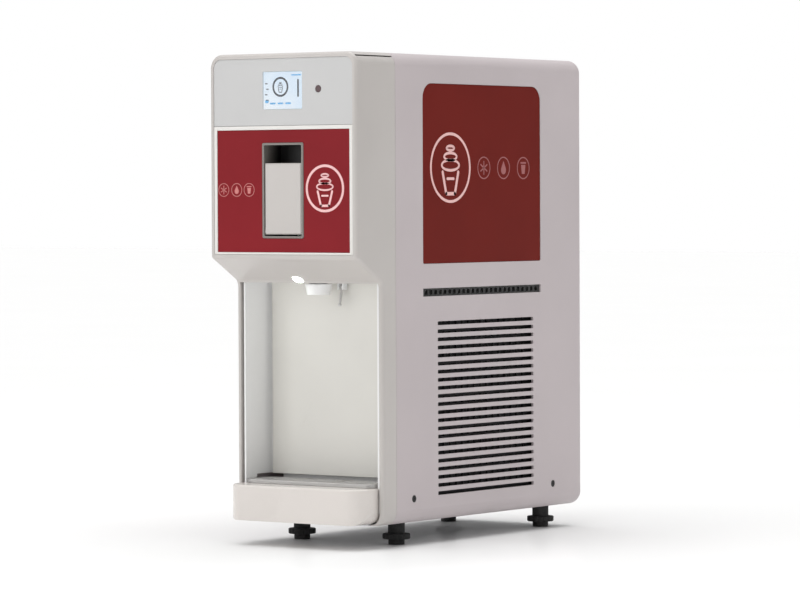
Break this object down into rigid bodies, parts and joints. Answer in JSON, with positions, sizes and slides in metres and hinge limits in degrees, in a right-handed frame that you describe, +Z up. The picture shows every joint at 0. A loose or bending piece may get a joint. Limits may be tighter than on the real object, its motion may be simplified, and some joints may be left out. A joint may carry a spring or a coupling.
{
  "type": "soft serve machine",
  "caption": "Narrow countertop soft serve machine with a display head, recessed draw handle, open dispensing bay with drip tray, vented sides and levelling feet.",
  "frame": {"origin": "on the floor under the middle of the case", "axes": "+Z up, the front faces -Y, +X is the right-hand side seen from the front"},
  "size_m": [0.268, 0.59, 0.72],
  "materials": {
    "case_plastic": "satin, light grey",
    "front_plastic": "satin, light silver grey",
    "fascia_silver": "fine satin silver",
    "trim_light": "light gloss frame",
    "red_panel": "deep red, satin gloss",
    "red_side": "dark red, satin gloss",
    "white_plastic": "wipe-clean white",
    "black_plastic": "fine black",
    "rubber_black": "black rubber",
    "stainless": "brushed",
    "plated_steel": "zinc plated",
    "copper": "bare copper tube",
    "lens_glass": "clear cover",
    "screen": "lit screen",
    "lamp": "lit diffuser",
    "board_green": "solder mask",
    "foam": "rigid foam",
    "grey_casting": "cast, fine grain",
    "motor_black": "black enamel",
    "filter_mesh": "open mesh",
    "bezel_grey": "satin warm grey"
  },
  "bodies": {
    "case": {"air_filter": "filter_mesh", "back_panel": "case_plastic", "base_pan": "plated_steel", "bay_liner": "white_plastic", "case_screws": "black_plastic", "compressor": "motor_black", "compressor_grommets": "rubber_black", "condenser": "grey_casting", "control_board": "board_green", "cylinder_door": "white_plastic", "cylinder_seals": "rubber_black", "display_lens": "lens_glass", "display_module": "screen", "door_knobs": "black_plastic", "drive_motor": "grey_casting", "evaporator_coil": "copper", "fan_motor": "motor_black", "fan_shroud": "plated_steel", "fascia": "fascia_silver", "feed_tube": "white_plastic", "freezing_cylinder": "stainless", "front_carrier": "black_plastic", "front_decor": "red_panel", "front_housing": "front_plastic", "front_trim": "trim_light", "gearbox": "grey_casting", "handle_pin": "stainless", "handle_recess": "bezel_grey", "insulation": "foam", "lamp_lens": "lamp", "mix_hopper": "stainless", "nozzle": "white_plastic", "power_inlet": "black_plastic", "power_supply": "plated_steel", "refrigerant_lines": "copper", "shaft_bearing": "stainless", "shelf": "plated_steel", "side_decor_panels": "red_side", "side_panel_left": "case_plastic", "side_panel_right": "case_plastic", "slot_inserts": "black_plastic", "splash_back": "white_plastic", "top_panel": "case_plastic", "valve_block": "white_plastic"},
    "draw_handle": {"draw_handle": "front_plastic"},
    "valve_plunger": {"valve_plunger": "stainless", "plunger_seals": "rubber_black"},
    "power_button": {"power_button": "black_plastic"},
    "drip_tray": {"drip_tray": "front_plastic"},
    "drip_grid": {"drip_grid": "stainless"},
    "cup_lever": {"cup_lever": "stainless"},
    "hopper_lid": {"hopper_lid": "white_plastic"},
    "dasher": {"dasher": "stainless", "scraper_blades": "white_plastic"},
    "fan": {"fan_blades": "black_plastic"},
    "power_switch": {"power_switch": "black_plastic"},
    "foot_front_left": {"foot_front_left": "rubber_black"},
    "foot_front_right": {"foot_front_right": "rubber_black"},
    "foot_rear_left": {"foot_rear_left": "rubber_black"},
    "foot_rear_right": {"foot_rear_right": "rubber_black"}
  },
  "joints": [
    {"name": "handle_pull", "type": "hinge", "parent": "case", "child": "draw_handle", "pos_m": [0, -0.2885, 0.462], "axis": [1, 0, 0], "range_deg": [0, 25]},
    {"name": "plunger_lift", "type": "slide", "parent": "case", "child": "valve_plunger", "axis": [0, 0, 1], "range_m": [0, 0.0375]},
    {"name": "button_press", "type": "slide", "parent": "case", "child": "power_button", "axis": [0, 1, 0], "range_m": [0, 0.0012], "stiffness_N_per_m": 800, "springref_m": -0.001},
    {"name": "tray_slide", "type": "slide", "parent": "case", "child": "drip_tray", "axis": [0, -1, 0], "range_m": [0, 0.1]},
    {"name": "grid_lift", "type": "slide", "parent": "drip_tray", "child": "drip_grid", "axis": [0, 0, 1], "range_m": [0, 0.06]},
    {"name": "cup_push", "type": "hinge", "parent": "case", "child": "cup_lever", "pos_m": [0.024, -0.183, 0.38], "axis": [1, 0, 0], "range_deg": [0, 22], "stiffness_Nm_per_rad": 0.02, "springref_deg": -5.73},
    {"name": "lid_lift", "type": "slide", "parent": "case", "child": "hopper_lid", "axis": [0, 0, 1], "range_m": [0, 0.12]},
    {"name": "dasher_spin", "type": "hinge", "parent": "case", "child": "dasher", "pos_m": [0, -0.075, 0.455], "axis": [0, 1, 0], "continuous": true},
    {"name": "fan_spin", "type": "hinge", "parent": "case", "child": "fan", "pos_m": [0.062, 0.02, 0.195], "axis": [1, 0, 0], "continuous": true},
    {"name": "switch_rock", "type": "hinge", "parent": "case", "child": "power_switch", "pos_m": [-0.014, 0.288, 0.104], "axis": [1, 0, 0], "range_deg": [0, 20]},
    {"name": "foot_turn_front_left", "type": "hinge", "parent": "case", "child": "foot_front_left", "pos_m": [-0.087, -0.137, 0.02], "axis": [0, 0, 1], "range_deg": [-1080, 1080]},
    {"name": "foot_turn_front_right", "type": "hinge", "parent": "case", "child": "foot_front_right", "pos_m": [0.087, -0.137, 0.02], "axis": [0, 0, 1], "range_deg": [-1080, 1080]},
    {"name": "foot_turn_rear_left", "type": "hinge", "parent": "case", "child": "foot_rear_left", "pos_m": [-0.087, 0.244, 0.02], "axis": [0, 0, 1], "range_deg": [-1080, 1080]},
    {"name": "foot_turn_rear_right", "type": "hinge", "parent": "case", "child": "foot_rear_right", "pos_m": [0.087, 0.244, 0.02], "axis": [0, 0, 1], "range_deg": [-1080, 1080]}
  ],
  "couplings": [
    {"joint": "plunger_lift", "follows": "handle_pull", "m_per_rad": 0.084962}
  ]
}
